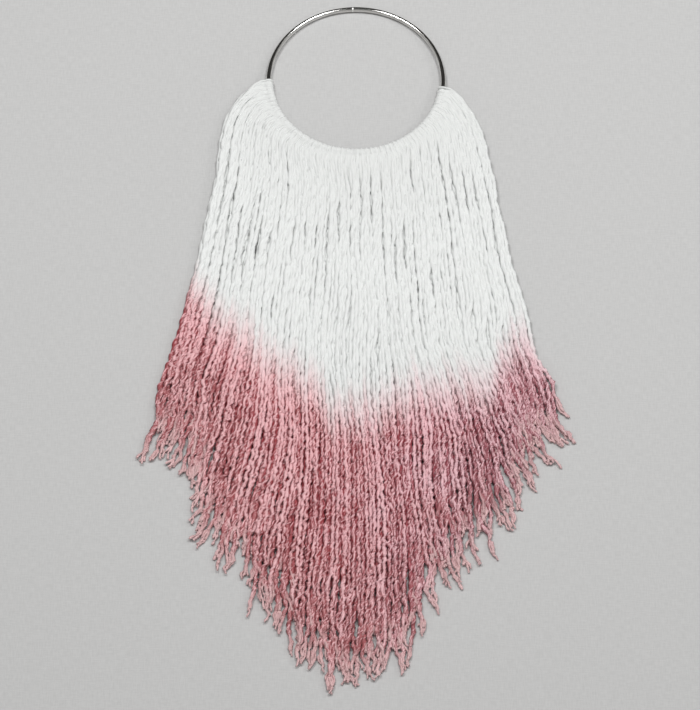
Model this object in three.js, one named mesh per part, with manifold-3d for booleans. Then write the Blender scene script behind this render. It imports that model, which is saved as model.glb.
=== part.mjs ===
import * as THREE from 'three';
import { mergeVertices } from 'three/addons/utils/BufferGeometryUtils.js';
import Module from 'manifold-3d';

// A steel hoop with a row of lark's-head hitches on its lower half. Each hitch holds four tails of bulky yarn,
// two on the table and two lying over them. Millimetres, +Z up, the fringe runs towards -Y.

// Hoop: round wire, lying with its bare top on the table and its lower half raised by the yarn wrapped round it.
const HOOP_RADIUS = 86.5;
const WIRE_RADIUS = 2.5;
const HOOP_STEPS = 72;
const WIRE_SIDES = 10;
const HOOP_MID_HEIGHT = 4.6;
const HOOP_SLOPE = (HOOP_MID_HEIGHT - WIRE_RADIUS) / HOOP_RADIUS;

// Hitches: evenly spaced between two angles of the hoop, counted anticlockwise from +X.
const HITCHES = 27;
const FIRST_ANGLE = 181.5;
const LAST_ANGLE = 352.5;
const HITCH_GAP = 0.4;
const BORE = 3.1;
const BORE_SIDES = 8;
const INNER_REACH = 5.4;

// Wall of a hitch round the wire: distance out from the wire's centre, and height above it, or the table.
const HITCH_WALL = [
  { out: 6.4, up: -0.6, table: false },
  { out: 6.0, up: 3.6, table: false },
  { out: 3.0, up: 5.8, table: false },
  { out: -2.4, up: 5.4, table: false },
  { out: -5.0, up: 2.4, table: false },
  { out: -5.4, up: -1.6, table: false },
  { out: -3.4, up: 0, table: true },
  { out: 5.4, up: 0, table: true },
];

// The wraps of the yarn make two ridges across each hitch.
const HITCH_RIDGES = [
  { share: 0.0, fullness: 0.86 },
  { share: 0.25, fullness: 1.0 },
  { share: 0.5, fullness: 0.87 },
  { share: 0.75, fullness: 1.0 },
  { share: 1.0, fullness: 0.86 },
];

// Tails: where they start, how far the two layers stand apart, and the stations along each.
const ROOT_RADIUS = 90.4;
const NECK_RADIUS = 94.4;
const COLUMNS = HITCHES * 2;
const LAYER_SHIFT = 0.25;
const LAYER_GAP = 0.4;
const BEND_STEPS = 4;
const HANG_STEP = 90;
const SHORTEST_STEP = 6;
const SIDE_LEAD = 62;
const MIDDLE_LEAD = 18;
const TIP_WIDTH = 0.7;
const TIP_HEIGHT = 0.6;
const TOP_WIDTH = 0.82;

// Where the tails have turned and run down the table.
const SHOULDER_SIDE = -81;
const SHOULDER_DROP = 50;

// Outermost tails, and the size of a tail, down the fringe.
const FRINGE = [
  { y: -60, left: -131, right: 122, width: 3.6, height: 4.6 },
  { y: -80, left: -131.5, right: 125, width: 3.6, height: 4.6 },
  { y: -120, left: -136, right: 133.5, width: 3.8, height: 4.6 },
  { y: -160, left: -143, right: 141, width: 4.1, height: 4.6 },
  { y: -210, left: -151.5, right: 147, width: 4.3, height: 4.5 },
  { y: -255, left: -163, right: 159, width: 4.6, height: 4.4 },
  { y: -300, left: -170, right: 169, width: 4.8, height: 4.4 },
  { y: -345, left: -181, right: 185, width: 5.1, height: 4.3 },
  { y: -400, left: -190, right: 200, width: 5.1, height: 4.2 },
  { y: -700, left: -188, right: 196, width: 5.1, height: 4.0 },
];

// Lowest tips across the fringe.
const TIPS = [
  { share: 0.0, y: -372 },
  { share: 0.09, y: -428 },
  { share: 0.13, y: -442 },
  { share: 0.18, y: -492 },
  { share: 0.24, y: -535 },
  { share: 0.28, y: -547 },
  { share: 0.31, y: -600 },
  { share: 0.35, y: -597 },
  { share: 0.4, y: -645 },
  { share: 0.47, y: -668 },
  { share: 0.55, y: -648 },
  { share: 0.61, y: -636 },
  { share: 0.66, y: -556 },
  { share: 0.72, y: -542 },
  { share: 0.8, y: -496 },
  { share: 0.84, y: -460 },
  { share: 0.92, y: -425 },
  { share: 1.0, y: -403 },
];
const LOWER_TRIM = 34;
const UPPER_TRIM_LEAST = 14;
const UPPER_TRIM = 46;

// Below this height the side tails fan out, a little at first.
const FAN_START = -380;
const FAN_EASE = 60;

// Slow waves that neighbouring tails share.
const WAVES = [
  { reach: 2.2, across: 2.3, length: 260, phase: 0 },
  { reach: 0.9, across: 5.0, length: 170, phase: 1 },
];
const WAVE_START = 180;

// Tails whose tips stray from the fringe.
const STRAYS = [
  { column: 0, sideways: -3, trim: -52 },
  { column: 1, sideways: -5, trim: -8 },
  { column: 53, sideways: 3, trim: 0 },
];
const STRAY_START = 90;

const wasm = await Module();
wasm.setup();

const mix = (a, b, t) => a + (b - a) * t;
const smooth = (t) => t * t * (3 - 2 * t);
const clamp01 = (t) => Math.min(1, Math.max(0, t));

// A steady number from 0 to 1 for a whole number.
function chance(n) {
  const s = Math.sin(n * 12.9898 + 4.1414) * 43758.5453;
  return s - Math.floor(s);
}

// The value of a table's column where another column has the given value.
function lookUp(table, key, at, column) {
  const falling = table[0][key] > table[table.length - 1][key];
  let i = 0;
  while (i < table.length - 2 && (falling ? at < table[i + 1][key] : at > table[i + 1][key])) {
    i += 1;
  }
  const t = clamp01((at - table[i][key]) / (table[i + 1][key] - table[i][key]));
  return mix(table[i][column], table[i + 1][column], t);
}

const angleAt = (share) => THREE.MathUtils.degToRad(mix(FIRST_ANGLE, LAST_ANGLE, share));
const wireHeight = (y) => HOOP_MID_HEIGHT - y * HOOP_SLOPE;

function toSolid(vertices, triangles) {
  return new wasm.Manifold(new wasm.Mesh({
    numProp: 3,
    vertProperties: new Float32Array(vertices.flat()),
    triVerts: new Uint32Array(triangles.flat()),
  }));
}

// Walls between rings of points that run along a body, as triangles.
function walls(rings, sides, first, inward) {
  const triangles = [];
  for (let i = 0; i < rings - 1; i += 1) {
    for (let j = 0; j < sides; j += 1) {
      const a = first + i * sides + j;
      const b = first + i * sides + (j + 1) % sides;
      const c = a + sides;
      const d = b + sides;
      triangles.push(inward ? [a, c, b] : [a, b, c]);
      triangles.push(inward ? [b, c, d] : [b, d, c]);
    }
  }
  return triangles;
}

// The share of the fringe's width that a tail takes once it has left its hitch.
function tailShare(column, upper) {
  return (column + 0.5 + (upper ? LAYER_SHIFT : -LAYER_SHIFT)) / COLUMNS;
}

function fringePoint(share, y) {
  const left = lookUp(FRINGE, 'y', y, 'left');
  const right = lookUp(FRINGE, 'y', y, 'right');
  let x = mix(left, right, share);
  const start = smooth(clamp01((SHOULDER_SIDE - SHOULDER_DROP - y) / WAVE_START));
  for (const wave of WAVES) {
    x += start * wave.reach * Math.sin(2 * Math.PI * (wave.across * share + y / wave.length) + wave.phase);
  }
  const side = 2 * share - 1;
  const drop = Math.max(0, FAN_START - y);
  x += side * Math.abs(side) * drop * drop / (drop + FAN_EASE);
  return new THREE.Vector2(x, y);
}

function shoulderY(share) {
  return SHOULDER_SIDE - SHOULDER_DROP * Math.sin(Math.PI * share);
}

// The tip of a tail: a lower tail ends near the outline, and an upper one ends before the two below it.
function tipY(column, upper) {
  const edge = (c) => {
    const stray = STRAYS.find((s) => s.column === c);
    const trim = stray ? stray.trim : LOWER_TRIM * chance(c);
    return lookUp(TIPS, 'share', tailShare(c, false), 'y') + trim;
  };
  if (!upper) {
    return edge(column);
  }
  const below = Math.max(edge(column), edge(Math.min(column + 1, COLUMNS - 1)));
  return below + UPPER_TRIM_LEAST + UPPER_TRIM * chance(column + 100);
}

// Centre line of a tail on the table: out of its hitch, round the shoulder, then down the fringe.
function tailPath(column, upper) {
  const rootShare = (column + 0.5) / COLUMNS;
  const share = tailShare(column, upper);
  const angle = angleAt(rootShare);
  const outward = new THREE.Vector2(Math.cos(angle), Math.sin(angle));
  const root = outward.clone().multiplyScalar(ROOT_RADIUS);
  const neck = outward.clone().multiplyScalar(NECK_RADIUS);
  const turn = shoulderY(share);
  const shoulder = fringePoint(share, turn);
  const side = Math.abs(2 * share - 1);
  const lead = outward.clone().multiplyScalar(mix(MIDDLE_LEAD, SIDE_LEAD, side * side * side));
  const down = fringePoint(share, turn - 10).sub(fringePoint(share, turn + 10)).normalize();
  down.multiplyScalar(1.15 * (neck.y - turn));
  const points = [root];
  for (let i = 0; i <= BEND_STEPS; i += 1) {
    const t = i / BEND_STEPS;
    const point = neck.clone().multiplyScalar((1 + 2 * t) * (1 - t) * (1 - t));
    point.addScaledVector(lead, t * (1 - t) * (1 - t));
    point.addScaledVector(shoulder, t * t * (3 - 2 * t));
    point.addScaledVector(down, t * t * (t - 1));
    points.push(point);
  }
  const tip = tipY(column, upper);
  const stray = STRAYS.find((s) => s.column === column);
  const rows = [];
  for (let y = -HANG_STEP; y > tip + SHORTEST_STEP; y -= HANG_STEP) {
    if (y < turn - SHORTEST_STEP) {
      rows.push(y);
    }
  }
  rows.push(tip);
  for (const y of rows) {
    const point = fringePoint(share, y);
    if (stray && !upper) {
      const t = clamp01((STRAY_START + tip - y) / STRAY_START);
      point.x += stray.sideways * t * t;
    }
    points.push(point);
  }
  return points;
}

// One tail: four-sided, flat below, a little narrower above, drawn in at its tip.
function tailSolid(column, upper) {
  const path = tailPath(column, upper);
  const last = path.length - 1;
  const vertices = [];
  path.forEach((point, i) => {
    const before = path[Math.max(0, i - 1)];
    const after = path[Math.min(last, i + 1)];
    const along = after.clone().sub(before).normalize();
    const across = new THREE.Vector2(-along.y, along.x);
    const height = lookUp(FRINGE, 'y', point.y, 'height');
    const half = lookUp(FRINGE, 'y', point.y, 'width') * (i === last ? TIP_WIDTH : 1) / 2;
    const bottom = upper ? height + LAYER_GAP : 0;
    const top = bottom + height * (i === last ? TIP_HEIGHT : 1);
    const corners = [[half, bottom], [half * TOP_WIDTH, top], [-half * TOP_WIDTH, top], [-half, bottom]];
    for (const [offset, z] of corners) {
      vertices.push([point.x + across.x * offset, point.y + across.y * offset, z]);
    }
  });
  const end = last * 4;
  const triangles = walls(path.length, 4, 0, false);
  triangles.push([0, 2, 1], [0, 3, 2], [end, end + 1, end + 2], [end, end + 2, end + 3]);
  return toSolid(vertices, triangles);
}

// The yarn wrapped round the wire: a ridged sleeve with a bore that clears the wire, flat on the table.
function wrapSolid(hitch) {
  const gapShare = HITCH_GAP / 2 / (HOOP_RADIUS - INNER_REACH);
  const start = angleAt(hitch / HITCHES) + gapShare;
  const finish = angleAt((hitch + 1) / HITCHES) - gapShare;
  const sides = HITCH_WALL.length;
  const place = (angle, out, z) => {
    const radius = HOOP_RADIUS + out;
    return [radius * Math.cos(angle), radius * Math.sin(angle), z];
  };
  const centre = (angle) => wireHeight(HOOP_RADIUS * Math.sin(angle));
  const vertices = [];
  for (const ridge of HITCH_RIDGES) {
    const angle = mix(start, finish, ridge.share);
    for (const spot of HITCH_WALL) {
      const z = spot.table ? 0 : centre(angle) + spot.up * ridge.fullness;
      vertices.push(place(angle, spot.out * ridge.fullness, z));
    }
  }
  const bore = vertices.length;
  const corner = BORE / Math.cos(Math.PI / BORE_SIDES);
  for (const angle of [start, finish]) {
    for (let j = 0; j < BORE_SIDES; j += 1) {
      const turn = 2 * Math.PI * j / BORE_SIDES;
      vertices.push(place(angle, corner * Math.cos(turn), centre(angle) + corner * Math.sin(turn)));
    }
  }
  const rings = HITCH_RIDGES.length;
  const end = (rings - 1) * sides;
  const triangles = walls(rings, sides, 0, true);
  triangles.push(...walls(2, BORE_SIDES, bore, false));
  for (let j = 0; j < sides; j += 1) {
    const k = (j + 1) % sides;
    triangles.push([j, k, bore + j], [k, bore + k, bore + j]);
    triangles.push([end + j, bore + sides + j, end + k], [end + k, bore + sides + j, bore + sides + k]);
  }
  return toSolid(vertices, triangles);
}

function hoopGeometry() {
  const torus = new THREE.TorusGeometry(HOOP_RADIUS, WIRE_RADIUS, WIRE_SIDES, HOOP_STEPS);
  torus.rotateX(-Math.atan(HOOP_SLOPE));
  torus.deleteAttribute('normal');
  torus.deleteAttribute('uv');
  const geometry = mergeVertices(torus, 1e-4);
  geometry.computeBoundingBox();
  geometry.translate(0, 0, -geometry.boundingBox.min.z);
  return geometry;
}

function toGeometry(solid) {
  const mesh = solid.getMesh();
  const geometry = new THREE.BufferGeometry();
  geometry.setAttribute('position', new THREE.BufferAttribute(new Float32Array(mesh.vertProperties), 3));
  geometry.setIndex(new THREE.BufferAttribute(new Uint32Array(mesh.triVerts), 1));
  return geometry;
}

function hitchGeometry(hitch) {
  let solid = wrapSolid(hitch);
  for (const column of [2 * hitch, 2 * hitch + 1]) {
    solid = solid.add(tailSolid(column, false)).add(tailSolid(column, true));
  }
  return toGeometry(solid);
}

const part = new THREE.Group();
part.name = 'macrame_hoop';

const hoop = new THREE.Mesh(
  hoopGeometry(),
  new THREE.MeshStandardMaterial({ color: 0xb9b7b3, roughness: 0.22, metalness: 1 }),
);
hoop.name = 'hoop';
part.add(hoop);

for (let hitch = 0; hitch < HITCHES; hitch += 1) {
  const yarn = new THREE.Mesh(
    hitchGeometry(hitch),
    new THREE.MeshStandardMaterial({ color: 0xe6dedb, roughness: 0.95, metalness: 0 }),
  );
  yarn.name = `hitch_${String(hitch + 1).padStart(2, '0')}`;
  part.add(yarn);
}

// The part stands with the middle of its base at the origin.
const box = new THREE.Box3().setFromObject(part);
const middle = box.getCenter(new THREE.Vector3());
for (const mesh of part.children) {
  mesh.geometry.translate(-middle.x, -middle.y, -box.min.z);
  mesh.geometry.computeVertexNormals();
}

export default part;
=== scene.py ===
import math
import bpy
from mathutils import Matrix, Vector


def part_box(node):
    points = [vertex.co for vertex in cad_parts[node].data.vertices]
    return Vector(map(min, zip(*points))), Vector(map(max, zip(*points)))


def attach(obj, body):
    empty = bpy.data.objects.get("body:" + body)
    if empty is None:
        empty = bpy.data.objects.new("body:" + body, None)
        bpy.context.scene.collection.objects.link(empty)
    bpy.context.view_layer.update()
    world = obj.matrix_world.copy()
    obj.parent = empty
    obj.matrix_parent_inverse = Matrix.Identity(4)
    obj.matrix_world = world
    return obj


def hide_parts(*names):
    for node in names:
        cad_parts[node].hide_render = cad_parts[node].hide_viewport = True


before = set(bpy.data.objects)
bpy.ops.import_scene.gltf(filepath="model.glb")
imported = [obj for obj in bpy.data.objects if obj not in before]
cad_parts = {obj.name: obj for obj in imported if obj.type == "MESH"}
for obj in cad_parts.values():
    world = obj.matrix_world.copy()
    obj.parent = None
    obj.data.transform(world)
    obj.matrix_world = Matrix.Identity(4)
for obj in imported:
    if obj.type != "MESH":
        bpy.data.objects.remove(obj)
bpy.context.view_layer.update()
print("frame loaded:", len(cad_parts), "nodes")


# A wire is a node's output, and maths on it adds Math nodes
class Wire:
    def __init__(self, bench, socket):
        self.bench, self.socket = bench, socket

    def maths(self, operation, first, second):
        return self.bench.node("ShaderNodeMath", {"operation": operation}, {0: first, 1: second})

    def __add__(self, other):
        return self.maths("ADD", self, other)

    def __sub__(self, other):
        return self.maths("SUBTRACT", self, other)

    def __rsub__(self, other):
        return self.maths("SUBTRACT", other, self)

    def __mul__(self, other):
        return self.maths("MULTIPLY", self, other)

    def __truediv__(self, other):
        return self.maths("DIVIDE", self, other)

    def __rtruediv__(self, other):
        return self.maths("DIVIDE", other, self)

    __radd__ = __add__
    __rmul__ = __mul__


class Bench:
    def __init__(self, tree):
        self.tree = tree

    # settings are set first, then the sockets take values, wires or a list of wires
    def node(self, kind, settings=None, sockets=None, out=0):
        made = self.tree.nodes.new(kind)
        for name, value in (settings or {}).items():
            setattr(made, name, value)
        for name, value in (sockets or {}).items():
            for item in value if isinstance(value, list) else [value]:
                if isinstance(item, Wire):
                    self.tree.links.new(item.socket, made.inputs[name])
                else:
                    made.inputs[name].default_value = item
        return Wire(self, made.outputs[out]) if len(made.outputs) else None

    def other(self, wire, name):
        return Wire(self, wire.socket.node.outputs[name])

    def mixColour(self, share, first, second):
        colours = [c if isinstance(c, Wire) else (*c, 1) for c in (first, second)]
        return self.node("ShaderNodeMix", {"data_type": "RGBA"},
                         {0: share, 6: colours[0], 7: colours[1]}, 2)

    def scaled(self, vector, factor):
        return self.node("ShaderNodeVectorMath", {"operation": "SCALE"}, {0: vector, "Scale": factor})

    def plus(self, first, second):
        return self.node("ShaderNodeVectorMath", {"operation": "ADD"}, {0: first, 1: second})

    # 0 at low, 1 at high, eased between
    def remap(self, value, low, high):
        return self.node("ShaderNodeMapRange", {"interpolation_type": "SMOOTHSTEP"},
                         {0: value, 1: low, 2: high, 3: 0.0, 4: 1.0})

    def objectPlace(self):
        return self.node("ShaderNodeTexCoord", None, None, "Object")


def newMaterial(name):
    made = bpy.data.materials.new(name)
    made.use_nodes = True
    bench = Bench(made.node_tree)
    return made, bench, made.node_tree.nodes["Principled BSDF"]


def feed(bench, shader, **sockets):
    for name, value in sockets.items():
        socket = shader.inputs[name.replace("_", " ")]
        if isinstance(value, Wire):
            bench.tree.links.new(value.socket, socket)
        else:
            socket.default_value = value


def newTree(name, inputs):
    tree = bpy.data.node_groups.new(name, "GeometryNodeTree")
    tree.interface.new_socket("Geometry", in_out="INPUT", socket_type="NodeSocketGeometry")
    tree.interface.new_socket("Geometry", in_out="OUTPUT", socket_type="NodeSocketGeometry")
    for label, value in inputs.items():
        kind = "NodeSocketInt" if isinstance(value, int) else "NodeSocketFloat"
        tree.interface.new_socket(label, in_out="INPUT", socket_type=kind)
    bench = Bench(tree)
    source = bench.node("NodeGroupInput").socket.node
    wires = {s.name: Wire(bench, s) for s in source.outputs if s.name}
    return tree, bench, wires


def finishTree(bench, geometry, material):
    made = bench.node("GeometryNodeRealizeInstances", None, {0: geometry})
    made = bench.node("GeometryNodeSetMaterial", None, {"Geometry": made, "Material": material})
    bench.node("NodeGroupOutput", None, {0: made})


# Runs a tree on a mesh and keeps the result as a plain object
def bakeTree(name, mesh, tree, inputs):
    source = bpy.data.objects.new(name + "Source", mesh)
    bpy.context.scene.collection.objects.link(source)
    modifier = source.modifiers.new("tree", "NODES")
    modifier.node_group = tree
    for item in tree.interface.items_tree:
        if item.in_out == "INPUT" and item.name in inputs:
            modifier[item.identifier] = inputs[item.name]
    ready = source.evaluated_get(bpy.context.evaluated_depsgraph_get())
    result = bpy.data.meshes.new_from_object(ready)
    source.modifiers.remove(modifier)
    bpy.data.objects.remove(source)
    piece = bpy.data.objects.new(name, result)
    result.name = name
    bpy.context.scene.collection.objects.link(piece)
    return piece


# Hoop, in millimetres about its own centre
hoop = {
    "radius": 86.5,
    "wire": 2.5,
    "midHeight": 4.495,
    "slope": 2.1 / 86.5,
    "steps": 256,
    "sides": 20,
    "weldRise": 0.12,
    "weldReach": 2.2,
}

# Yarn wrapped round the wire, and the bight that closes each hitch, in millimetres
wrap = {
    "girth": (1.25, 1.25, 1.25, 1.5),  # lower pair, upper pair
    "turn": (-45, -318),  # degrees round the wire
    "steps": 15,
    "fit": 0.97,
    "underFit": 0.96,
    "lowEase": 1.3,
    "neckStart": 4.6,
    "neckShares": (0.0, 0.4, 0.8),
    "bightSpan": (0.08, 0.92),
    "bightSteps": 8,
    "bightReach": 5.2,
    "bightBow": 0.9,
    "bightGirth": 1.05,
}

# Yarn tails, in millimetres about the hoop's centre
fringe = {
    "hitches": 27,
    "firstAngle": 181.5,
    "lastAngle": 352.5,
    "layerShift": 0.25,
    "yarns": 2,  # side by side in each tail
    "yarnShift": 0.125,
    # round the shoulder
    "neckRadius": 94.4,
    "sideLead": (100, 52),  # left, right
    "middleLead": 18,
    "leadDrop": (0.6, 0.75),  # left, right
    "shoulderSide": -81,
    "shoulderDrop": 50,
    "turnSpan": 10,
    "turnPull": 1.15,
    "bendStepsLeast": 6,
    "bendStride": 4,
    # down the table
    "fallStepsLeast": 8,
    "stride": 5.0,
    "waveStart": 180,
    "waves": [(2.2, 2.3, 260, 0), (0.9, 5.0, 170, 1)],  # reach, across, length, phase
    "drifts": [(263, 0.5), (131, 0.34), (57, 0.16)],  # length, weight
    "fanStart": -380,
    "fanEase": 60,
    "jitter": 0.3,
    "jitterRun": 60,
    "wander": (0.7, 1.5),  # lower layer, upper layer
    "looseFrom": -250,
    "looseRun": 170,
    "packed": 0.55,
    "gather": (0.08, 0.45),  # how far the tails of a hitch close up, mean and swing
    "gatherPace": 1.6,
    "gatherEnd": -400,
    "gatherEase": 130,
    "gatherRun": 14,
    "edgeGather": {0: 0.26, 1: 0.14, 2: 0.1, 25: 0.06, 26: 0.1},
    # heights and girths
    "bed": (2.5, 5.5),  # lower layer, upper layer
    "stagger": (0.4, 2.2),
    "bump": (0.2, 1.0),
    "riseRun": 34,
    "swellRun": 15,
    "lowerFullness": 1.28,
    "fullReach": 150,
    "fullFrom": -190,
    "fullRun": 140,
    "settle": 0.8,
    "settleReach": 70,
    "clearance": 0.94,  # height over the table, in girths
    # tips
    "lowerTrim": 34,
    "upperTrimLeast": 3,
    "upperTrim": 26,
    "tipTrim": 18,
    "tipThin": 0.6,
    "tipTaper": (4, 26),  # start, run
    "tipWave": 2.6,
    "tipWaveLength": (34, 36),  # least, swing
    "tipWaveReach": 90,
    "tipCurl": 6.5,
    "tipCurlReach": 45,
    "strays": {0: (12, -30), 1: (-5, -8), 53: (3, 0)},  # column: sideways, trim
    "strayReach": 90,
    "locks": 25,
    "lockSpread": 0.7,
    "lockReach": 48,
    "lockPull": 0.28,
    # loose plies
    "frays": 3,
    "frayPoints": 7,
    "fraySteps": 12,
    "frayGirth": 1.3,
    "frayTaper": (1.05, 0.85),
    "fraySpread": 1.9,
    "frayCurl": 1.6,
    "frayWaves": (1.2, 1.3),  # least, swing
    "frayTurn": 6.3,
    "frayGrow": (-6, 9),
}

# y, leftmost tail, rightmost tail, girth of a tail
fringeRows = [
    (-60, -132, 124, 2.2), (-80, -134, 127, 2.25), (-120, -138, 134, 2.4), (-160, -145, 141, 2.5),
    (-210, -154, 148, 2.55), (-255, -163, 158, 2.55), (-300, -171, 165, 2.45), (-345, -184, 184, 2.3),
    (-400, -193, 200, 2.2), (-700, -188, 196, 2.3),
]

# share across the fringe, lowest tip
tipRows = [
    (0.0, -385), (0.04, -424), (0.13, -442), (0.18, -492), (0.24, -535), (0.28, -547), (0.31, -600),
    (0.35, -597), (0.4, -645), (0.47, -668), (0.55, -648), (0.6, -636), (0.65, -560), (0.72, -542),
    (0.8, -496), (0.84, -460), (0.92, -425), (1.0, -403),
]

# x, height where the dye begins
dyeRows = [
    (-175, -230), (-158, -236), (-138, -267), (-109, -293), (-79, -320), (-49, -343), (-36, -351),
    (-24, -382), (-10, -374), (9, -370), (29, -372), (43, -358), (62, -352), (86, -348), (127, -350),
    (138, -316), (150, -302), (175, -306),
]

# Dye and crimp along a yarn, in millimetres
dip = {
    "soft": (72, 24),  # length of the dye's soft edge, least and swing
    "ragged": 16,
    "endReach": 120,
    "endLayer": 0.5,
    "fade": [(0.15, 140), (0.85, 26)],  # share, reach from the tip
    "crimp": (0.1, 0.36),  # at the hitch, down the undyed part
    "crimpRun": 120,
    "dyedCrimp": (60, 140),  # lead over the dye, run
    "hiddenCrimp": 0.6,
    "slackTurn": 0.2,
    "wide": 400,
}

columns = fringe["hitches"] * 2
hoopLow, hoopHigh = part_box("hoop")
hoopMiddle = (hoopLow + hoopHigh) / 2


def mix(a, b, t):
    return a + (b - a) * t


def clamp(t):
    return min(1.0, max(0.0, t))


def smooth(t):
    t = clamp(t)
    return t * t * (3 - 2 * t)


def chance(n):
    s = math.sin(n * 12.9898 + 4.1414) * 43758.5453
    return s - math.floor(s)


def lookUp(rows, at, column):
    falling = rows[0][0] > rows[-1][0]
    i = 0
    while i < len(rows) - 2 and (at < rows[i + 1][0] if falling else at > rows[i + 1][0]):
        i += 1
    share = clamp((at - rows[i][0]) / (rows[i + 1][0] - rows[i][0]))
    return mix(rows[i][column], rows[i + 1][column], share)


# Slow sideways drift of one strand, from -1 to 1
def drift(seed, distance):
    total = 0
    for k, (length, weight) in enumerate(fringe["drifts"]):
        total += weight * math.sin(2 * math.pi * (distance / length + chance(seed * 7 + k)))
    return total


# 0 further from the tip than the reach, 1 at the tip
def nearTip(y, tip, reach):
    return clamp((reach + tip - y) / reach)


def angleAt(share):
    return math.radians(mix(fringe["firstAngle"], fringe["lastAngle"], share))


def tailShare(column, upper):
    return (column + 0.5 + (fringe["layerShift"] if upper else -fringe["layerShift"])) / columns


def strandSeed(column, upper, ply):
    return (column * 2 + upper) * fringe["yarns"] + ply


def fringePoint(share, y):
    x = mix(lookUp(fringeRows, y, 1), lookUp(fringeRows, y, 2), share)
    start = smooth((fringe["shoulderSide"] - fringe["shoulderDrop"] - y) / fringe["waveStart"])
    for reach, across, length, phase in fringe["waves"]:
        x += start * reach * math.sin(2 * math.pi * (across * share + y / length) + phase)
    side, drop = 2 * share - 1, max(0, fringe["fanStart"] - y)
    x += side * abs(side) * drop * drop / (drop + fringe["fanEase"])
    return Vector((x, y))


def outAt(share):
    angle = angleAt(share)
    return Vector((math.cos(angle), math.sin(angle)))


def shoulderHeight(share):
    return fringe["shoulderSide"] - fringe["shoulderDrop"] * math.sin(math.pi * share)


# From the neck of a hitch, t = 0, round to the shoulder, t = 1
def bendPoint(share, t):
    turnY, span = shoulderHeight(share), fringe["turnSpan"]
    neck = outAt(share) * fringe["neckRadius"]
    side, half = abs(2 * share - 1) ** 3, int(share > 0.5)
    lead = outAt(share) - Vector((0, fringe["leadDrop"][half] * side))
    lead *= mix(fringe["middleLead"], fringe["sideLead"][half], side)
    down = (fringePoint(share, turnY - span) - fringePoint(share, turnY + span)).normalized()
    down = down * fringe["turnPull"] * (neck.y - turnY)
    return (neck * ((1 + 2 * t) * (1 - t) ** 2) + lead * (t * (1 - t) ** 2)
            + fringePoint(share, turnY) * (t * t * (3 - 2 * t)) + down * (t * t * (t - 1)))


# The tails of a hitch close up in places, and slits open beside them
def gathered(share, hitch, y):
    mean, swing = fringe["gather"]
    pull = max(0, mean + swing * drift(hitch + 900, y * fringe["gatherPace"]))
    pull = max(pull, fringe["edgeGather"].get(hitch, 0))
    pull *= smooth((y - fringe["gatherEnd"]) / fringe["gatherEase"])
    return share + pull * ((2 * hitch + 1) / columns - share)


def edgeTip(column):
    trim = fringe["lowerTrim"] * chance(column)
    if column in fringe["strays"]:
        trim = fringe["strays"][column][1]
    return lookUp(tipRows, tailShare(column, False), 1) + trim


def tipHeight(column, upper):
    if not upper:
        return edgeTip(column)
    below = max(edgeTip(column), edgeTip(min(column + 1, columns - 1)))
    return below + fringe["upperTrimLeast"] + fringe["upperTrim"] * chance(column + 100)


# Packed close under the hoop, looser lower down
def looseness(y):
    return mix(fringe["packed"], 1, smooth((fringe["looseFrom"] - y) / fringe["looseRun"]))


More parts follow.
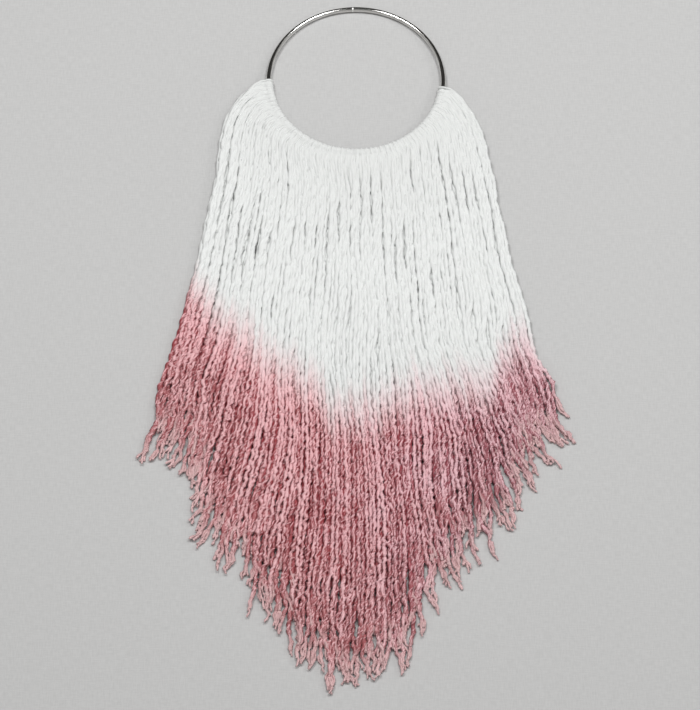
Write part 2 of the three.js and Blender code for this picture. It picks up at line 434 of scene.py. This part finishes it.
# Points of one yarn: round the wire, out of the hitch, round the shoulder and down to its tip
def strandPoints(column, upper, ply):
    seed = strandSeed(column, upper, ply)
    shift = fringe["yarnShift"] if upper else -fringe["yarnShift"]
    shift += (ply + 0.5) / fringe["yarns"] - 0.5
    share = tailShare(column, upper) + shift / columns
    out = outAt(share)
    wireHeight = hoop["midHeight"] - hoop["radius"] * out.y * hoop["slope"]
    points = []

    # the wrap: from under the wire, up its inside and over it
    girth = wrap["girth"][2 * upper + ply]
    under = min(girth, (wireHeight - hoop["wire"]) / 2 * wrap["underFit"])
    reach = hoop["wire"] + girth * wrap["fit"]
    for step in range(wrap["steps"] + 1):
        turn = math.radians(mix(*wrap["turn"], step / wrap["steps"]))
        low = smooth(-math.sin(turn) * wrap["lowEase"])
        rise = reach if math.sin(turn) > 0 else wireHeight - under
        flat = out * (hoop["radius"] + reach * math.cos(turn))
        points.append((flat.x, flat.y, wireHeight + rise * math.sin(turn), mix(girth, under, low)))

    # out to the neck and round the shoulder
    turnY = shoulderHeight(share)
    neckStart = hoop["radius"] + wrap["neckStart"]
    flats = [out * mix(neckStart, fringe["neckRadius"], t) for t in wrap["neckShares"]]
    bendLength = (fringePoint(share, turnY) - out * fringe["neckRadius"]).length
    bendSteps = max(fringe["bendStepsLeast"], round(bendLength / fringe["bendStride"]))
    for step in range(1, bendSteps + 1):
        t = step / bendSteps
        close = gathered(share, column // 2, turnY + (1 - t) * bendLength)
        flats.append(bendPoint(mix(share, close, smooth(t * bendLength / fringe["gatherRun"])), t))

    # down the table
    tip = tipHeight(column, upper)
    if ply:
        tip = lookUp(tipRows, share, 1) + fringe["tipTrim"] * (chance(seed + 200) + upper)
    lock = share * fringe["locks"] + (chance(seed + 250) - 0.5) * fringe["lockSpread"]
    lock = round(lock) / fringe["locks"]
    stray = fringe["strays"].get(column, (0, 0))[0] if not upper else 0
    sway = (chance(seed + 150) - 0.5) * fringe["jitter"] / columns
    leastLength, lengthSwing = fringe["tipWaveLength"]
    waveLength = leastLength + lengthSwing * chance(seed + 350)
    curl = (chance(seed + 300) - 0.5) * 2 * fringe["tipCurl"]
    fallSteps = max(fringe["fallStepsLeast"], round((turnY - tip) / fringe["stride"]))
    for step in range(1, fallSteps + 1):
        y = mix(turnY, tip, step / fallSteps)
        swayed = gathered(share, column // 2, y) + sway * smooth((turnY - y) / fringe["jitterRun"])
        flat = fringePoint(swayed, y)
        wave = fringe["tipWave"] * nearTip(y, tip, fringe["tipWaveReach"])
        flat.x += wave * math.sin(2 * math.pi * y / waveLength + seed)
        pull = fringe["lockPull"] * nearTip(y, tip, fringe["lockReach"]) ** 1.5
        flat.x += pull * (fringePoint(lock, y).x - flat.x)
        flat.x += stray * nearTip(y, tip, fringe["strayReach"]) ** 2
        flat.x += curl * nearTip(y, tip, fringe["tipCurlReach"]) ** 2
        flat.x += fringe["wander"][upper] * looseness(y) * drift(seed, y)
        flats.append(flat)

    # heights and girths along the flat run
    runLength = 0
    lastHeight = points[-1][2]
    taperStart, taperRun = fringe["tipTaper"]
    for i, flat in enumerate(flats):
        runLength += (flat - flats[i - 1]).length if i else 0
        full = lookUp(fringeRows, flat.y, 3)
        if not upper:
            filled = smooth((flat.y - tip) / fringe["fullReach"])
            filled *= smooth((fringe["fullFrom"] - flat.y) / fringe["fullRun"])
            full *= mix(1, fringe["lowerFullness"], filled)
        girthHere = mix(girth, full, smooth((runLength - 1) / fringe["swellRun"]))
        bump = fringe["bump"][upper] * drift(seed + 500, runLength)
        bump += fringe["stagger"][upper] * (chance(seed + 400) - 0.5)
        bump *= looseness(flat.y)
        settled = fringe["settle"] * smooth(nearTip(flat.y, tip, fringe["settleReach"]))
        bed = mix(fringe["bed"][upper], full, settled)
        height = mix(lastHeight, bed + bump, smooth(runLength / fringe["riseRun"]))
        girthHere *= mix(fringe["tipThin"], 1, smooth((flat.y - tip - taperStart) / taperRun))
        points.append((flat.x, flat.y, max(height, girthHere * fringe["clearance"]), girthHere))
    return points


# The plies of a strand part near its tip, and each curls its own way
def frayPoints(points, seed):
    frays = []
    base = points[-fringe["frayPoints"]:]
    leastWaves, wavesSwing = fringe["frayWaves"]
    for k in range(fringe["frays"]):
        spread = mix(-1, 1, (k + chance(seed * 31 + k)) / fringe["frays"])
        waves = leastWaves + wavesSwing * chance(seed * 13 + k + 90)
        phase = fringe["frayTurn"] * chance(seed * 17 + k + 50)
        grow = mix(*fringe["frayGrow"], chance(seed * 19 + k + 70))
        rest = fringe["frayGirth"] * (1 + chance(seed * 23 + k))
        run = []
        for step in range(fringe["fraySteps"] + 1):
            t = step / fringe["fraySteps"]
            at = t * (len(base) - 1)
            i = min(int(at), len(base) - 2)
            x, y, z = (mix(base[i][n], base[i + 1][n], at - i) for n in range(3))
            along = (Vector(base[i + 1][:2]) - Vector(base[i][:2])).normalized()
            curl = fringe["frayCurl"] * t * math.sin(fringe["frayTurn"] * waves * t + phase)
            aside = spread * fringe["fraySpread"] * t + curl
            height = max(mix(z, rest, t), fringe["frayGirth"])
            thin = fringe["frayGirth"] * mix(*fringe["frayTaper"], t)
            run.append((x + along.x * grow * t - along.y * aside, y + along.y * grow * t + along.x * aside,
                        height, thin))
        frays.append(run)
    return frays


# Loose points of one hitch, joined in lines, with what the tree and the dye need on each point
def hitchLines(hitch):
    vertices, edges = [], []
    names = ("along", "girth", "dye", "fade", "tint", "side", "crimp", "layer", "turn")
    values = {name: [] for name in names}

    def addLine(points, seed, tip, layer):
        along, turn = 0, 0
        soft = dip["soft"][0] + dip["soft"][1] * chance(seed + 700)
        dyedLead, dyedRun = dip["dyedCrimp"]
        for i, (x, y, z, girth) in enumerate(points):
            line = lookUp(dyeRows, x, 1) + (chance(seed + 800) - 0.5) * dip["ragged"]
            end = smooth(nearTip(y, tip, dip["endReach"]))
            crimp = mix(*dip["crimp"], smooth(along / dip["crimpRun"]))
            crimp = mix(crimp, 1, smooth((line + dyedLead - y) / dyedRun))
            crimp *= mix(dip["hiddenCrimp"], 1, max(layer, end))
            if i:
                step = math.dist(points[i][:3], points[i - 1][:3])
                along += step
                turn += step * mix(dip["slackTurn"], 1, crimp)
                edges.append((len(vertices) - 1, len(vertices)))
            vertices.append((x / 1000 + hoopMiddle.x, y / 1000 + hoopMiddle.y, z / 1000))
            values["along"].append(along / 1000)
            values["girth"].append(girth / 1000)
            values["dye"].append(smooth((line + soft / 2 - y) / soft))
            values["crimp"].append(crimp)
            values["turn"].append(turn / 1000)
            # the layer also carries painted shade: the lower layer is painted darker, evened out towards
            # the tips
            values["layer"].append(mix(layer, dip["endLayer"], end))
            fades = [share * smooth(nearTip(y, tip, reach)) for share, reach in dip["fade"]]
            values["fade"].append(sum(fades))
            values["tint"].append(chance(seed + 600))
            values["side"].append(clamp(x / dip["wide"] + 0.5))

    for column in (2 * hitch, 2 * hitch + 1):
        for upper in (False, True):
            for ply in range(fringe["yarns"]):
                points = strandPoints(column, upper, ply)
                seed = strandSeed(column, upper, ply)
                addLine(points, seed, points[-1][1], upper)
                for run in frayPoints(points, seed):
                    addLine(run, seed, points[-1][1], upper)

    # the bight that closes the hitch, under the tails and far from any tip
    bight = []
    girth, noTip = wrap["bightGirth"], -900
    for step in range(wrap["bightSteps"] + 1):
        t = step / wrap["bightSteps"]
        angle = angleAt((hitch + mix(*wrap["bightSpan"], t)) / fringe["hitches"])
        reach = hoop["radius"] + wrap["bightReach"] + wrap["bightBow"] * math.sin(math.pi * t)
        bight.append((reach * math.cos(angle), reach * math.sin(angle), girth, girth))
    addLine(bight, hitch + 40, noTip, 0)

    mesh = bpy.data.meshes.new("hitchLines")
    mesh.from_pydata(vertices, edges, [])
    for name, numbers in values.items():
        mesh.attributes.new(name, "FLOAT", "POINT").data.foreach_set("value", numbers)
    return mesh


yarn = {
    "Step": 0.0019,
    "Sides": 6,
    "Plies": 2.0,
    "Ply Depth": 0.24,
    "Twist Length": 0.018,
    "Slub": 0.4,
    "Lump": 0.65,
    "Kink": 0.0046,
    "Hair Density": 24000.0,
    "Hair Length": 0.0036,
    "Hair Width": 0.00012,
    "Seed": 7,
}

# How finely the yarn's unevenness runs, per metre, and how the hairs lean
grain = {
    "kink": 150.0,
    "slub": 60.0,
    "lump": 260.0,
    "slubTwist": 5.0,
    "hairLean": ((-1.1, -1.1, -0.35), (1.1, 1.1, 0.55)),
    "hairSize": (0.4, 1.0),
}


# Sweeps a plied section along the lines, twists it and sets short hairs on it
def buildYarnTree(material):
    tree, bench, value = newTree("yarnTree", yarn)

    def named(name):
        return bench.node("GeometryNodeInputNamedAttribute", {"data_type": "FLOAT"}, {"Name": name})

    # the lines, kinked and twisted, each strand by its own tint
    along, tint, crimp = named("along"), named("tint"), named("crimp")
    lines = bench.node("GeometryNodeMeshToCurve", None, {0: value["Geometry"]})
    lines = bench.node("GeometryNodeResampleCurve", {"mode": "LENGTH"},
                       {"Curve": lines, "Length": value["Step"]})
    place = bench.node("GeometryNodeInputPosition")
    apart = bench.node("ShaderNodeCombineXYZ", None, {0: tint * 90.0})
    strandSpot = bench.plus(bench.scaled(place, grain["kink"]), apart)
    kinkNoise = bench.node("ShaderNodeTexNoise", None,
                           {"Vector": strandSpot, "Scale": 1.0, "Detail": 1.0}, 1)
    kink = bench.plus(kinkNoise, (-0.5, -0.5, -0.5))
    lines = bench.node("GeometryNodeSetPosition", None,
                       {"Geometry": lines, "Offset": bench.scaled(kink, value["Kink"] * (crimp + 0.1))})
    slubNoise = bench.node("ShaderNodeTexNoise", {"noise_dimensions": "1D"},
                           {"W": along * grain["slub"] + tint * 40.0, "Scale": 1.0, "Detail": 1.0})
    lumpNoise = bench.node("ShaderNodeTexNoise", {"noise_dimensions": "1D"},
                           {"W": along * grain["lump"] + tint * 70.0, "Scale": 1.0, "Detail": 0.0})
    uneven = value["Slub"] * (slubNoise - 0.5) + value["Lump"] * (lumpNoise - 0.5)
    girth = named("girth") * (1.0 + crimp * uneven)
    lines = bench.node("GeometryNodeSetCurveRadius", None, {"Curve": lines, "Radius": girth})
    twist = named("turn") / value["Twist Length"] * (2 * math.pi) + tint * 40.0
    twist = twist + slubNoise * crimp * grain["slubTwist"]
    lines = bench.node("GeometryNodeSetCurveTilt", None, {"Curve": lines, "Tilt": twist})

    # the section, with a lobe for each ply
    section = bench.node("GeometryNodeCurvePrimitiveCircle", None,
                         {"Resolution": value["Sides"], "Radius": 1.0})
    spot = bench.node("GeometryNodeInputPosition")
    parts = bench.node("ShaderNodeSeparateXYZ", None, {0: spot})
    turn = bench.node("ShaderNodeMath", {"operation": "ARCTAN2"}, {0: bench.other(parts, "Y"), 1: parts})
    lobe = bench.node("ShaderNodeMath", {"operation": "COSINE"}, {0: turn * value["Plies"]})
    lobed = bench.scaled(spot, 1.0 + value["Ply Depth"] * (lobe - 0.25))
    section = bench.node("GeometryNodeSetPosition", None, {"Geometry": section, "Position": lobed})
    lay = bench.node("GeometryNodeInputPosition")
    section = bench.node("GeometryNodeStoreNamedAttribute",
                         {"data_type": "FLOAT_VECTOR", "domain": "POINT"},
                         {"Geometry": section, "Name": "lay", "Value": lay})
    body = bench.node("GeometryNodeCurveToMesh", None, {
        "Curve": lines, "Profile Curve": section, "Scale": bench.node("GeometryNodeInputRadius"),
        "Fill Caps": True})
    # painted light: how far each face turns up, so the material paints the tops of the yarns paler and
    # their sides darker
    facing = bench.node("ShaderNodeSeparateXYZ", None, {0: bench.node("GeometryNodeInputNormal")})
    crown = bench.node("ShaderNodeMath", {"operation": "ABSOLUTE"}, {0: bench.other(facing, "Z")})
    body = bench.node("GeometryNodeStoreNamedAttribute", {"data_type": "FLOAT", "domain": "POINT"},
                      {"Geometry": body, "Name": "crown", "Value": crown})
    body = bench.node("GeometryNodeSetShadeSmooth", None, {"Geometry": body})

    # hairs, most of them on the crimped yarn and the tips
    density = value["Hair Density"] * (crimp * crimp + named("fade") * 2.0)
    spots = bench.node("GeometryNodeDistributePointsOnFaces", {"distribute_method": "RANDOM"},
                       {"Mesh": body, "Density": density, "Seed": value["Seed"]})
    lean = bench.node("FunctionNodeRandomValue", {"data_type": "FLOAT_VECTOR"},
                      {0: grain["hairLean"][0], 1: grain["hairLean"][1], "Seed": value["Seed"]})
    aim = bench.node("FunctionNodeAlignRotationToVector", {"axis": "Z"},
                     {"Vector": bench.plus(bench.other(spots, "Normal"), lean)})
    hair = bench.node("GeometryNodeMeshCone", {"fill_type": "NGON"},
                      {"Vertices": 3, "Radius Top": 0.0, "Radius Bottom": value["Hair Width"],
                       "Depth": value["Hair Length"]})
    size = bench.node("FunctionNodeRandomValue", {"data_type": "FLOAT"},
                      {2: grain["hairSize"][0], 3: grain["hairSize"][1], "Seed": value["Seed"]}, 1)
    hairs = bench.node("GeometryNodeInstanceOnPoints", None,
                       {"Points": spots, "Instance": hair, "Rotation": aim, "Scale": size})
    hairs = bench.node("GeometryNodeRealizeInstances", None, {0: hairs})
    whole = bench.node("GeometryNodeJoinGeometry", None, {0: [body, hairs]})

    # nothing goes through the table
    spot = bench.node("ShaderNodeSeparateXYZ", None, {0: bench.node("GeometryNodeInputPosition")})
    height = bench.node("ShaderNodeMath", {"operation": "MAXIMUM"}, {0: bench.other(spot, "Z"), 1: 0.0})
    resting = bench.node("ShaderNodeCombineXYZ", None, {0: spot, 1: bench.other(spot, "Y"), 2: height})
    whole = bench.node("GeometryNodeSetPosition", None, {"Geometry": whole, "Position": resting})
    finishTree(bench, whole, material)
    return tree


yarnLook = {
    "white": (0.79, 0.805, 0.795),
    "whitePaintedShade": (0.7, 0.71, 0.7),
    "whiteShade": (0.745, 0.755, 0.745),
    "rose": (0.355, 0.068, 0.078),
    "rosePale": (0.95, 0.565, 0.59),
    "mauve": (0.3, 0.08, 0.11),
    "mauvePale": (0.89, 0.585, 0.64),
    "tipPale": (0.88, 0.62, 0.615),
    "fibreLength": 0.0048,
    "fibreAcross": 2.8,
    "blotchScale": 38.0,
    "paintedShadeReach": 0.16,
    # what makes the dyed yarn pale, and from where to where it turns: fibre, tint and blotch are the yarn's
    # own streaks; ply crests, the upper layer and upward faces get painted light, and grooves, the lower
    # layer and sides get painted shade
    "pale": {"fibre": 1.7, "paintedCrestShade": 0.8, "tint": 0.3, "blotch": 0.4, "layer": 0.3, "crown": 0.85,
             "undyed": 0.3},
    "paleSpan": (2.46, 2.96),
    "coolSpan": (0.35, 0.95),
    "cool": 0.8,
    "tipFade": 0.85,
    "raggedSoak": 1.2,
    "roughness": 0.92,
    "specular": 0.15,
    "bump": (0.9, 0.0014),  # strength, distance
}


# Undyed wool above, dusty rose below, streaked along the plies, with painted shade in the ply grooves, on
# the lower layer, on the yarns' sides and on the white knot band
def buildYarnMaterial():
    material, bench, shader = newMaterial("dipDyedYarn")

    def named(name, out=2):
        return bench.node("ShaderNodeAttribute", {"attribute_name": name}, None, out)

    dye, fade, tint, side = named("dye"), named("fade"), named("tint"), named("side")
    section = named("lay", 1)
    # painted shade: the section's reach from the yarn's axis, so the grooves between plies are painted
    # darker than the crests
    paintedCrestShade = bench.node("ShaderNodeVectorMath", {"operation": "LENGTH"}, {0: section}, 1)
    lay = bench.node("ShaderNodeSeparateXYZ", None, {0: section})
    across = yarnLook["fibreAcross"]
    fibreSpot = bench.node("ShaderNodeCombineXYZ", None, {
        0: lay * across + tint * 31.0, 1: bench.other(lay, "Y") * across,
        2: named("along") / yarnLook["fibreLength"]})
    fibre = bench.node("ShaderNodeTexNoise", None,
                       {"Vector": fibreSpot, "Scale": 1.0, "Detail": 4.0, "Roughness": 0.72})
    blotch = bench.node("ShaderNodeTexNoise", None,
                        {"Vector": bench.objectPlace(), "Scale": yarnLook["blotchScale"], "Detail": 2.0})
    white = bench.mixColour(bench.remap(fibre, 0.3, 0.7), yarnLook["whiteShade"], yarnLook["white"])
    # painted shade: the white is painted darker along the knot band by the hoop, where it faces the lamps
    near = bench.remap(named("along"), 0.0, yarnLook["paintedShadeReach"])
    white = bench.mixColour(near, yarnLook["whitePaintedShade"], white)
    part = yarnLook["pale"]
    pale = fibre * part["fibre"] + paintedCrestShade * part["paintedCrestShade"] + tint * part["tint"] + blotch * part["blotch"]
    # painted shade: the lower layer, and faces turned away from the top, are painted darker
    pale = pale + named("layer") * part["layer"] + named("crown") * part["crown"]
    pale = bench.remap(pale + (1 - dye) * part["undyed"], *yarnLook["paleSpan"])
    cool = bench.remap(side + (blotch - 0.5) * 0.5, *yarnLook["coolSpan"]) * yarnLook["cool"]
    rose = bench.mixColour(pale, bench.mixColour(cool, yarnLook["rose"], yarnLook["mauve"]),
                           bench.mixColour(cool, yarnLook["rosePale"], yarnLook["mauvePale"]))
    rose = bench.mixColour(fade * yarnLook["tipFade"], rose, yarnLook["tipPale"])
    ragged = (fibre - 0.5) * yarnLook["raggedSoak"] * dye * (1 - dye)
    soak = bench.node("ShaderNodeClamp", None, {0: dye + ragged})
    strength, distance = yarnLook["bump"]
    bump = bench.node("ShaderNodeBump", None,
                      {"Strength": strength, "Distance": distance, "Height": fibre * named("crimp")})
    feed(bench, shader, Base_Color=bench.mixColour(soak, white, rose), Roughness=yarnLook["roughness"],
         Specular_IOR_Level=yarnLook["specular"], Normal=bump)
    return material


yarnMaterial = buildYarnMaterial()
yarnTree = buildYarnTree(yarnMaterial)
yarnFaces = 0
for hitch in range(fringe["hitches"]):
    node = f"hitch_{hitch + 1:02d}"
    inputs = {**yarn, "Seed": yarn["Seed"] + hitch}
    piece = bakeTree(f"yarn_{hitch + 1:02d}", hitchLines(hitch), yarnTree, inputs)
    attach(piece, "root")
    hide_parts(node)
    yarnFaces += sum(len(p.vertices) - 2 for p in piece.data.polygons)
print("yarn:", fringe["hitches"], "hitches,", yarnFaces, "triangles")


hoopLook = {
    "nickel": (0.78, 0.77, 0.75),
    "nickelDark": (0.6, 0.59, 0.57),
    "cloudScale": 60.0,
    "joint": (0.97, 0.96, 0.94),
    "jointSide": -0.003,
    "jointReach": 0.0006,
    "jointRise": 0.02,
    "jointRough": 0.4,
    "roughness": 0.06,
    "markRough": 0.14,
    "markFineness": 14.0,
    "bump": (0.06, 0.0002),  # strength, distance
}


# Drawn along the wire, clouded, with a pale joint at the top
def buildHoopMaterial():
    material, bench, shader = newMaterial("platedWire")
    lay = bench.node("ShaderNodeAttribute", {"attribute_name": "drawn"}, None, 1)
    marks = bench.node("ShaderNodeTexNoise", None, {"Vector": lay, "Scale": 1.0, "Detail": 4.0})
    cloud = bench.node("ShaderNodeTexNoise", None,
                       {"Vector": bench.objectPlace(), "Scale": hoopLook["cloudScale"], "Detail": 3.0})
    place = bench.node("ShaderNodeSeparateXYZ", None, {0: bench.objectPlace()})
    offset = (place - (hoopMiddle.x + hoopLook["jointSide"])) / hoopLook["jointReach"]
    joint = bench.node("ShaderNodeMath", {"operation": "EXPONENT"}, {0: offset * offset * -1.0})
    upperHalf = bench.remap(bench.other(place, "Y"), hoopMiddle.y, hoopMiddle.y + hoopLook["jointRise"])
    joint = joint * upperHalf
    plate = bench.mixColour(bench.remap(cloud, 0.3, 0.75), hoopLook["nickelDark"], hoopLook["nickel"])
    rough = hoopLook["roughness"] + marks * hoopLook["markRough"] + joint * hoopLook["jointRough"]
    strength, distance = hoopLook["bump"]
    bump = bench.node("ShaderNodeBump", None, {"Strength": strength, "Distance": distance, "Height": marks})
    feed(bench, shader, Base_Color=bench.mixColour(joint, plate, hoopLook["joint"]), Metallic=1.0,
         Roughness=rough, Normal=bump)
    return material


# The wire: a round section swept round a circle, thicker at the weld
def buildHoopTree(material, inputs):
    tree, bench, value = newTree("hoopTree", inputs)
    ring = bench.node("GeometryNodeCurvePrimitiveCircle", None,
                      {"Resolution": value["Steps"], "Radius": value["Radius"]})
    place = bench.node("ShaderNodeSeparateXYZ", None, {0: bench.node("GeometryNodeInputPosition")})
    offset = place / value["Weld Reach"]
    atTop = bench.remap(bench.other(place, "Y"), 0.0, 0.01)
    weld = bench.node("ShaderNodeMath", {"operation": "EXPONENT"}, {0: offset * offset * -1.0}) * atTop
    ring = bench.node("GeometryNodeSetCurveRadius", None,
                      {"Curve": ring, "Radius": value["Wire"] + value["Weld Rise"] * weld})
    section = bench.node("GeometryNodeCurvePrimitiveCircle", None,
                         {"Resolution": value["Sides"], "Radius": 1.0})
    spot = bench.node("ShaderNodeSeparateXYZ", None, {0: bench.node("GeometryNodeInputPosition")})
    fine = hoopLook["markFineness"]
    drawn = bench.node("ShaderNodeCombineXYZ", None, {0: spot * fine, 1: bench.other(spot, "Y") * fine})
    section = bench.node("GeometryNodeStoreNamedAttribute",
                         {"data_type": "FLOAT_VECTOR", "domain": "POINT"},
                         {"Geometry": section, "Name": "drawn", "Value": drawn})
    body = bench.node("GeometryNodeCurveToMesh", None, {
        "Curve": ring, "Profile Curve": section, "Scale": bench.node("GeometryNodeInputRadius")})
    body = bench.node("GeometryNodeSetShadeSmooth", None, {"Geometry": body})
    tilt = bench.node("ShaderNodeCombineXYZ", None, {0: -math.atan(hoop["slope"])})
    body = bench.node("GeometryNodeTransform", None,
                      {"Geometry": body, "Rotation": tilt, "Translation": hoopMiddle})
    finishTree(bench, body, material)
    return tree


hoopSizes = {
    "Radius": hoop["radius"] / 1000,
    "Wire": hoop["wire"] / 1000,
    "Steps": hoop["steps"],
    "Sides": hoop["sides"],
    "Weld Rise": hoop["weldRise"] / 1000,
    "Weld Reach": hoop["weldReach"] / 1000,
}
hoopTree = buildHoopTree(buildHoopMaterial(), hoopSizes)
hoopPiece = bakeTree("hoopWire", bpy.data.meshes.new("hoopStart"), hoopTree, hoopSizes)
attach(hoopPiece, "root")
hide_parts("hoop")
print("hoop:", len(hoopPiece.data.polygons), "faces")


table = {
    "size": 6.0,
    "drop": 0.0004,
    "colour": (0.54, 0.539, 0.535),
    "colourDark": (0.48, 0.479, 0.476),
    "weave": (900, 120),
    "roughness": 0.95,
}


def buildTable():
    mesh = bpy.data.meshes.new("tableTop")
    half = table["size"] / 2
    corners = [(-half, -half, 0), (half, -half, 0), (half, half, 0), (-half, half, 0)]
    mesh.from_pydata(corners, [], [(0, 1, 2, 3)])
    material, bench, shader = newMaterial("paleCloth")
    place = bench.objectPlace()
    threads = []
    for stretch in (table["weave"], table["weave"][::-1]):
        run = bench.node("ShaderNodeVectorMath", {"operation": "MULTIPLY"}, {0: place, 1: (*stretch, 1)})
        threads.append(bench.node("ShaderNodeTexNoise", None, {"Vector": run, "Scale": 1.0, "Detail": 2.0}))
    grainHere = bench.remap((threads[0] + threads[1]) * 0.5, 0.3, 0.7)
    colour = bench.mixColour(grainHere, table["colourDark"], table["colour"])
    feed(bench, shader, Base_Color=colour, Roughness=table["roughness"])
    mesh.materials.append(material)
    piece = bpy.data.objects.new("tableTop", mesh)
    piece.location.z = -table["drop"]
    bpy.context.scene.collection.objects.link(piece)


backdrop = {
    "colour": (0.05, 0.048, 0.045),
    "roughness": 0.9,
    "wall": (9.0, 40.0, 30.0),  # distance, width, height
    "board": (5.2, 3.0, -3.0, 5.0),  # height, width, near end, far end
}


# A dark wall far beyond the table and a dark board high above it, for the hoop to mirror
def buildBackdrop():
    mesh = bpy.data.meshes.new("backdrop")
    far, width, height = backdrop["wall"]
    rise, boardWidth, near, end = backdrop["board"]
    corners = []
    for x, z in ((-1, 0), (1, 0), (1, height), (-1, height)):
        corners.append((x * width / 2, far, z))
    for x, y in ((-1, near), (-1, end), (1, end), (1, near)):
        corners.append((x * boardWidth / 2, y, rise))
    mesh.from_pydata(corners, [], [(0, 1, 2, 3), (4, 5, 6, 7)])
    material, bench, shader = newMaterial("darkPaint")
    feed(bench, shader, Base_Color=(*backdrop["colour"], 1), Roughness=backdrop["roughness"])
    mesh.materials.append(material)
    piece = bpy.data.objects.new("backdrop", mesh)
    bpy.context.scene.collection.objects.link(piece)


buildTable()
buildBackdrop()
print("table and backdrop placed")

view = {
    "lens": 4000 / 710,  # in heights of the picture
    "sensor": 24.0,
    "elevation": 60.7,
    "place": (-0.0058, -2.1749, 3.3208),
    "farClip": 50,
}
light = {
    "places": [(0.7, 0.6, 2.4), (-0.7, 0.6, 2.4), (2.6, 1.0, 1.7)],
    "powers": [27.0, 27.5, 15.0],
    "mirrored": [True, True, False],
    "size": 0.65,
    "sky": (1.0, 0.995, 0.985),
    "world": 0.49,
}


def buildCamera():
    camera = bpy.data.cameras.new("camera")
    camera.sensor_fit = "VERTICAL"
    camera.sensor_height = view["sensor"]
    camera.lens = view["lens"] * view["sensor"]
    camera.clip_end = view["farClip"]
    piece = bpy.data.objects.new("camera", camera)
    piece.location = hoopMiddle + Vector(view["place"])
    piece.rotation_euler = (math.radians(90 - view["elevation"]), 0, 0)
    bpy.context.scene.collection.objects.link(piece)
    bpy.context.scene.camera = piece


def buildLight():
    for place, power, mirrored in zip(light["places"], light["powers"], light["mirrored"]):
        lamp = bpy.data.lights.new("softbox", "AREA")
        lamp.size = light["size"]
        lamp.energy = power
        piece = bpy.data.objects.new("softbox", lamp)
        piece.location = place
        piece.visible_glossy = mirrored
        piece.rotation_euler = (-Vector(place)).to_track_quat("-Z", "Y").to_euler()
        bpy.context.scene.collection.objects.link(piece)
    world = bpy.data.worlds.new("studio")
    world.use_nodes = True
    sky = world.node_tree.nodes["Background"]
    sky.inputs["Color"].default_value = (*light["sky"], 1)
    sky.inputs["Strength"].default_value = light["world"]
    bpy.context.scene.world = world
    bpy.context.scene.view_settings.view_transform = "Standard"


buildCamera()
buildLight()
print("camera and light placed")
